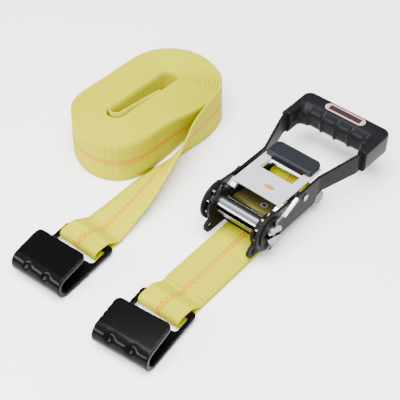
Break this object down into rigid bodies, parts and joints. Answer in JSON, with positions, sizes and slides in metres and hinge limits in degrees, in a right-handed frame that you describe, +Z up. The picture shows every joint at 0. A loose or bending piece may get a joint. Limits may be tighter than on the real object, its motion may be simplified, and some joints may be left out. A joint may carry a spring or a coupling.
{
  "type": "ratchet tie down",
  "caption": "Ratchet with a wide moulded-grip handle, a sewn short strap with a flat hook, and a rolled long strap with a second flat hook.",
  "frame": {"origin": "centre of the set's footprint, on the surface that it lies on", "axes": "+X from the flat hooks towards the ratchet's grip, +Z up, +Y from the ratchet towards the rolled strap"},
  "size_m": [0.3758, 0.298, 0.0568],
  "materials": {
    "black_steel": "satin charcoal powder coat",
    "hook_steel": "semi-gloss black coat",
    "zinc_steel": "bright zinc",
    "chrome_plate": "bright plated sheet",
    "grip_plastic": "satin moulded",
    "bar_plastic": "semi-gloss moulded",
    "label_plastic": "printed film, left plain",
    "mark_ink": "printed film, left plain",
    "yellow_webbing": "woven polyester",
    "stitch_thread": "bonded thread"
  },
  "bodies": {
    "base": {"frame": "black_steel", "tail_bolt": "zinc_steel", "tail_nut": "zinc_steel", "strap_spacer": "zinc_steel", "short_strap": "yellow_webbing", "short_strap_hook_loop": "yellow_webbing", "short_strap_bolt_loop": "yellow_webbing", "short_strap_stitches": "stitch_thread", "frame_bridge": "black_steel", "lock_pawl_spring": "zinc_steel"},
    "handle": {"handle_plate_left": "black_steel", "handle_plate_right": "black_steel", "handle_grip": "grip_plastic", "grip_label": "label_plastic", "grip_rivets": "black_steel", "handle_rod": "zinc_steel", "drive_pawl_springs": "zinc_steel"},
    "drive_pawl": {"drive_pawl": "chrome_plate", "pull_bar": "bar_plastic", "pawl_mark": "mark_ink"},
    "lock_pawl": {"lock_pawl": "zinc_steel"},
    "spool": {"mandrel_upper": "zinc_steel", "mandrel_lower": "zinc_steel", "ratchet_wheel_left": "zinc_steel", "ratchet_wheel_right": "zinc_steel", "hub_washer_left": "black_steel", "hub_washer_right": "black_steel", "cotter_pin_left": "zinc_steel", "cotter_pin_right": "zinc_steel"},
    "short_hook": {"short_strap_hook": "hook_steel"},
    "long_strap": {"long_strap_coil": "yellow_webbing", "long_strap_tail": "yellow_webbing"},
    "long_hook": {"long_strap_hook": "hook_steel"}
  },
  "joints": [
    {"name": "handle_swing", "type": "hinge", "parent": "base", "child": "handle", "pos_m": [0.00686, -0.095, 0.0334], "axis": [0, -1, 0], "range_deg": [0, 170]},
    {"name": "drive_pawl_slide", "type": "slide", "parent": "handle", "child": "drive_pawl", "axis": [0.9135, 0, 0.4067], "range_m": [-0.0035, 0.003], "stiffness_N_per_m": 800, "springref_m": -0.0035},
    {"name": "lock_pawl_slide", "type": "slide", "parent": "base", "child": "lock_pawl", "axis": [0.9781, 0, -0.2079], "range_m": [-0.0035, 0.003], "stiffness_N_per_m": 800, "springref_m": -0.0035, "deforming": ["lock_pawl_spring"]},
    {"name": "mandrel_spin", "type": "hinge", "parent": "base", "child": "spool", "pos_m": [0.00686, -0.095, 0.0334], "axis": [0, -1, 0], "range_deg": [-1080, 1080]},
    {"name": "short_hook_swing", "type": "hinge", "parent": "base", "child": "short_hook", "pos_m": [-0.10874, -0.1016, 0.00652], "axis": [-0.1201, 0.9928, 0], "range_deg": [0, 90]},
    {"name": "long_strap_lift", "type": "slide", "parent": "base", "child": "long_strap", "axis": [0, 0, 1], "range_m": [0, 0.15]},
    {"name": "long_hook_swing", "type": "hinge", "parent": "long_strap", "child": "long_hook", "pos_m": [-0.09874, 0.0155, 0.00652], "axis": [-0.0645, 0.9979, 0], "range_deg": [0, 120]}
  ]
}
